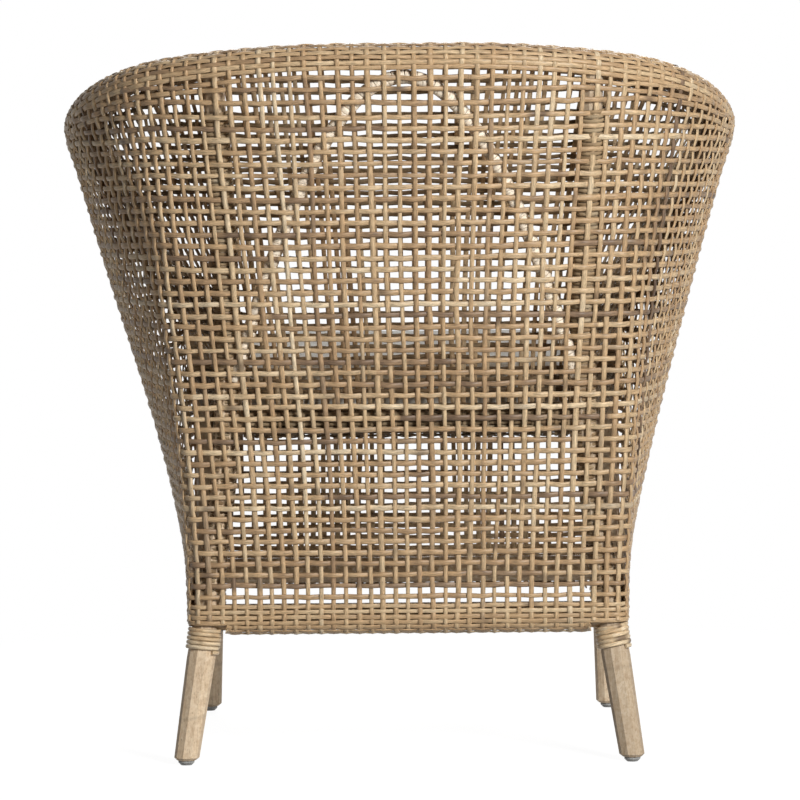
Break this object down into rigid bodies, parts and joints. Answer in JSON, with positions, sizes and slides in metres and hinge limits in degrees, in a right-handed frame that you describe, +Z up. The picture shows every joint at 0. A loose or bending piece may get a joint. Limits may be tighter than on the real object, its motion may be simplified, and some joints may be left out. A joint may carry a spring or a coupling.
{
  "type": "woven rattan tub chair",
  "caption": "Flared tub armchair with an open cane weave over a bent pole frame, short splayed pole legs bound with cane, and a loose seat cushion that lifts out.",
  "frame": {"origin": "on the floor under the middle of the chair's outline, between the four glides", "axes": "+Z up; the sitter faces -Y, so the back of the chair is towards +Y; +X towards the right-hand nodes, which are at the sitter's left"},
  "size_m": [0.7508, 0.6158, 0.7989],
  "materials": {
    "shaved_pole": "satin",
    "frame_pole": "satin",
    "outer_cane": "satin",
    "inner_cane": "satin",
    "binding_cane": "satin",
    "glide": "matte",
    "cushion_cover": "matte"
  },
  "bodies": {
    "chair": {"rear_pole_left": "shaved_pole", "rear_pole_right": "shaved_pole", "front_pole_left": "shaved_pole", "front_pole_right": "shaved_pole", "rear_leg_binding_left": "binding_cane", "rear_leg_binding_right": "binding_cane", "front_leg_binding_left": "binding_cane", "front_leg_binding_right": "binding_cane", "rear_glide_left": "glide", "rear_glide_right": "glide", "front_glide_left": "glide", "front_glide_right": "glide", "outer_weave_left": "outer_cane", "outer_weave_right": "outer_cane", "outer_weave_back": "outer_cane", "front_weave": "outer_cane", "inner_weave_left": "inner_cane", "inner_weave_right": "inner_cane", "inner_weave_back": "inner_cane", "rim_pole": "frame_pole", "back_arch": "frame_pole", "bottom_rail_rear": "frame_pole", "bottom_rail_front": "frame_pole", "bottom_rail_left": "frame_pole", "bottom_rail_right": "frame_pole", "seat_rail_rear": "frame_pole", "seat_rail_front": "frame_pole", "seat_rail_left": "frame_pole", "seat_rail_right": "frame_pole", "seat_slat_1": "frame_pole", "seat_slat_2": "frame_pole", "seat_slat_3": "frame_pole", "seat_slat_4": "frame_pole", "seat_slat_5": "frame_pole"},
    "cushion": {"seat_cushion": "cushion_cover"}
  },
  "joints": [
    {"name": "cushion_lift", "type": "slide", "parent": "chair", "child": "cushion", "axis": [0, 0, 1], "range_m": [0, 0.45]}
  ]
}
